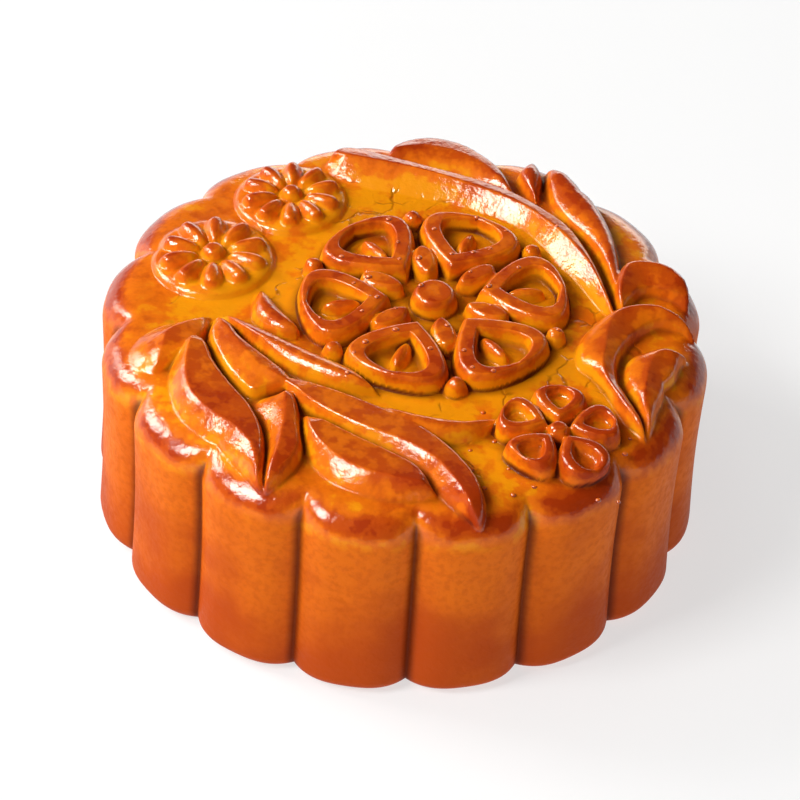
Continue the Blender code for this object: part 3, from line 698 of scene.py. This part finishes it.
def browning(n, patches, specks):
    """How far the top is baked, 0 to 1: most on what stands up, and in an arc along the top of each flute."""
    flat_tops = n.ramp(n.attribute("steepness"), 0.15, 0.60, 0.54, 0.28)
    toast = n.math("MULTIPLY", n.ramp(n.attribute("raised"), 0.30, 0.95), flat_tops)
    toast = n.math("ADD", toast, n.ramp(n.attribute("standing"), 0.0, 0.9, 0.0, 0.22))
    toast = n.math("ADD", toast, n.ramp(patches, 0.38, 0.68, -0.06, 0.26))
    toast = n.math("ADD", toast, n.ramp(n.noise(480, 2.0), 0.36, 0.64, -0.15, 0.15))
    toast = n.math("ADD", toast, n.ramp(n.attribute("run"), 24, 35, 0.0, 0.26))
    arc = n.math("MULTIPLY", n.ramp(n.attribute("run"), 36.6, 38.8), n.ramp(n.attribute("run"), 41.6, 39.6))
    arc = n.math("MULTIPLY", arc, n.ramp(n.attribute("groove"), 0.85, 0.35))
    toast = n.math("ADD", toast, n.math("MULTIPLY", arc, 0.7))
    return n.math("ADD", toast, n.ramp(specks, 0.3, 0.7, -0.05, 0.05), clamp=True)


def crackle(n):
    """Thin broken lines in the wash, where it has dried over the low ground."""
    node = n.new("ShaderNodeTexVoronoi", feature="DISTANCE_TO_EDGE")
    place = n.new("ShaderNodeTexCoord").outputs["Object"]
    wander = n.new("ShaderNodeTexNoise")
    n.feed(wander.inputs["Vector"], place)
    wander.inputs["Scale"].default_value = 260
    push = n.new("ShaderNodeVectorMath", operation="MULTIPLY_ADD")
    n.feed(push.inputs[0], wander.outputs["Color"])
    push.inputs[1].default_value = (0.003, 0.003, 0.003)
    n.feed(push.inputs[2], place)
    n.feed(node.inputs["Vector"], push.outputs[0])
    node.inputs["Scale"].default_value = 190
    line = n.ramp(node.outputs["Distance"], 0.05, 0.0)
    broken = n.math("MULTIPLY", line, n.ramp(n.noise(170, 2.0), 0.48, 0.62))
    low = n.math("MULTIPLY", n.ramp(n.attribute("raised"), 0.25, 0.05), n.ramp(n.attribute("run"), 34, 30))
    return n.math("MULTIPLY", broken, low)


def crust_material():
    material = bpy.data.materials.new("crust")
    n = Nodes(material)
    standing = n.attribute("standing")
    run = n.attribute("run")
    groove = n.attribute("groove")
    patches = n.noise(95, 2.0)
    specks = n.noise(1100, 3.0)
    toast = browning(n, patches, specks)
    cracks = crackle(n)

    colour = n.mix(n.ramp(toast, 0.02, 0.36), GOLD, ORANGE)
    colour = n.mix(n.ramp(toast, 0.34, 0.78), colour, BROWN)
    colour = n.mix(n.ramp(toast, 0.80, 1.10), colour, TOASTED)

    # The side is paler and duller, and darkens towards the foot with painted shade; darker specks mottle it too.
    lower = n.math("ADD", run, n.ramp(patches, 0.3, 0.7, -6, 6))
    side = n.mix(n.ramp(lower, 42, 66), SIDE_LIGHT, SIDE_FOOT_SHADE_AND_SPECKS)
    side = n.mix(n.ramp(specks, 0.40, 0.70, 0.0, 0.35), side, SIDE_FOOT_SHADE_AND_SPECKS)
    colour = n.mix(n.ramp(run, 40.0, 43.5), colour, side)

    # Painted shade darkens the creases, the foot of each raised piece and the grooves between flutes; the thin
    # cracks in the wash take the same dark colour.
    painted_shade_and_cracks = n.math("MAXIMUM", n.ramp(standing, -0.20, -0.95, 0.0, 0.7), n.ramp(groove, 0.84, 1.0, 0.0, 0.8))
    painted_shade_and_cracks = n.math("MAXIMUM", painted_shade_and_cracks, n.ramp(n.attribute("edging"), -0.14, -0.50, 0.0, 0.95))
    painted_shade_and_cracks = n.math("MAXIMUM", painted_shade_and_cracks, n.math("MULTIPLY", cracks, 0.5))
    n.feed(n.surface.inputs["Base Color"], n.mix(painted_shade_and_cracks, colour, SHADE_AND_CRACK_BROWN))

    # Egg wash shines on the top and over the shoulder. The side is bare.
    washed = n.math("MULTIPLY", n.ramp(run, 42.5, 38.8, 0.03, 1.0), n.ramp(standing, -0.60, -0.15, 0.10, 1.0))
    washed = n.math("MULTIPLY", washed, n.ramp(n.attribute("steepness"), 1.0, 1.9, 1.0, 0.12))
    n.feed(n.surface.inputs["Coat Weight"], washed)
    n.feed(n.surface.inputs["Roughness"], n.ramp(specks, 0.3, 0.7, 0.48, 0.60))
    n.surface.inputs["Specular IOR Level"].default_value = 0.06
    n.surface.inputs["Coat Roughness"].default_value = 0.065
    n.surface.inputs["Coat IOR"].default_value = 1.55
    swell = n.bump(n.noise(330, 2.0), 0.24, 0.0006)
    wrinkles = n.bump(n.noise(1300, 3.0, 0.6), 0.40, 0.00020, swell)
    pits = n.bump(n.math("MULTIPLY", cracks, -1.0), 0.5, 0.0002, wrinkles)
    for socket in ("Normal", "Coat Normal"):
        n.feed(n.surface.inputs[socket], pits)
    return material


def blister_material():
    """A bubble of egg wash: deep red and glossy round its foot, paler on its top."""
    material = bpy.data.materials.new("blister")
    n = Nodes(material)
    colour = n.mix(n.ramp(n.attribute("rise"), 0.25, 0.95), srgb(150, 38, 4), srgb(224, 104, 20))
    n.feed(n.surface.inputs["Base Color"], colour)
    n.surface.inputs["Roughness"].default_value = 0.35
    n.surface.inputs["Coat Weight"].default_value = 1.0
    n.surface.inputs["Coat Roughness"].default_value = 0.08
    return material


def plain_material(name, colour, roughness):
    material = bpy.data.materials.new(name)
    surface = Nodes(material).surface
    surface.inputs["Base Color"].default_value = colour
    surface.inputs["Roughness"].default_value = roughness
    return material


# ---------------------------------------------------------------- the studio

def look_at(item, place, target, roll=0.0):
    item.matrix_world = (Matrix.Translation(place)
                         @ (target - place).to_track_quat("-Z", "Y").to_matrix().to_4x4()
                         @ Matrix.Rotation(roll, 4, "Z"))


def polar(distance, azimuth, elevation):
    """A place round the cake. Azimuth 0 is in front, at -Y, and 90 is at the right, in degrees."""
    a, e = math.radians(azimuth), math.radians(elevation)
    return Vector((math.sin(a) * math.cos(e), -math.cos(a) * math.cos(e), math.sin(e))) * distance


def add_light(name, place, target, size, power):
    light = bpy.data.lights.new(name, "AREA")
    light.shape = "RECTANGLE"
    light.size, light.size_y = size
    light.energy = power
    item = bpy.data.objects.new(name, light)
    bpy.context.scene.collection.objects.link(item)
    look_at(item, place, target)
    return item


def make_world():
    """White all round at the horizon and dark overhead, as in a studio with low white walls."""
    world = bpy.data.worlds.new("studio")
    bpy.context.scene.world = world
    world.use_nodes = True
    nodes, links = world.node_tree.nodes, world.node_tree.links
    direction = nodes.new("ShaderNodeTexCoord").outputs["Generated"]
    parts = nodes.new("ShaderNodeSeparateXYZ")
    shade = nodes.new("ShaderNodeMapRange")
    shade.interpolation_type = "SMOOTHSTEP"
    for name, value in (("From Min", 0.07), ("From Max", 0.20), ("To Min", 0.9), ("To Max", 0.01)):
        shade.inputs[name].default_value = value
    nodes["Background"].inputs["Color"].default_value = (1, 1, 1, 1)
    links.new(direction, parts.inputs[0])
    links.new(parts.outputs["Z"], shade.inputs["Value"])
    links.new(shade.outputs[0], nodes["Background"].inputs["Strength"])


GLINT_COLOUR = (1.0, 0.95, 0.84)

# Each light: its name, place and size, its power on the crust, and its power in the gloss.
LIGHTS = [
    ("key_front", polar(0.9, -62, 46), (0.30, 0.34), 5.6, 8.0),
    ("key_side", polar(0.9, -108, 34), (0.26, 0.34), 4.2, 5.0),
    ("back_left", polar(0.9, -123, 18), (0.22, 0.22), 0, 0.9),
    ("back_right", polar(0.9, 168, 9), (0.7, 0.3), 0, 1.8),
    ("overhead", polar(0.9, -110, 66), (0.5, 0.5), 1.4, 0),
    ("fill", polar(0.9, 10, 25), (1.2, 0.8), 1.7, 0),
]


def make_studio(low, high):
    middle = Vector(((low[0] + high[0]) / 2, (low[1] + high[1]) / 2, (low[2] + high[2]) / 2))
    bpy.ops.mesh.primitive_plane_add(size=6.0, location=(0, 0, low[2]))
    floor = bpy.context.object
    floor.name = "floor"
    white = plain_material("white_floor", (0.35, 0.35, 0.35, 1), 0.9)
    surface = white.node_tree.nodes["Principled BSDF"]
    surface.inputs["Emission Color"].default_value = (1, 1, 1, 1)
    surface.inputs["Emission Strength"].default_value = 0.64
    floor.data.materials.append(white)

    make_world()
    for name, place, size, power, glint in LIGHTS:
        if power:
            add_light(name, place, middle, size, power).visible_glossy = False
        if glint:
            gloss = add_light(name + "_glint", 0.98 * place, middle, size, glint)
            gloss.visible_diffuse = False
            gloss.data.color = GLINT_COLOUR

    lens = bpy.data.cameras.new("camera")
    lens.sensor_width = 36.0
    lens.lens = 200.0
    lens.dof.use_dof = False
    camera = bpy.data.objects.new("camera", lens)
    bpy.context.scene.collection.objects.link(camera)
    look_at(camera, polar(0.60, 0, 42.6), middle - Vector((0, 0, 0.001)), math.radians(4.0))
    bpy.context.scene.camera = camera
    bpy.context.scene.view_settings.view_transform = "Standard"


def main():
    relief, standing, edging, steepness = relief_rasters()
    crust = make_crust(relief, standing, edging, steepness)
    crust.data.materials.clear()
    crust.data.materials.append(crust_material())
    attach(crust, "root")
    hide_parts(NODE)
    blisters = make_blisters(relief, steepness)
    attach(blisters, "root")
    make_studio(*cad_box)


main()
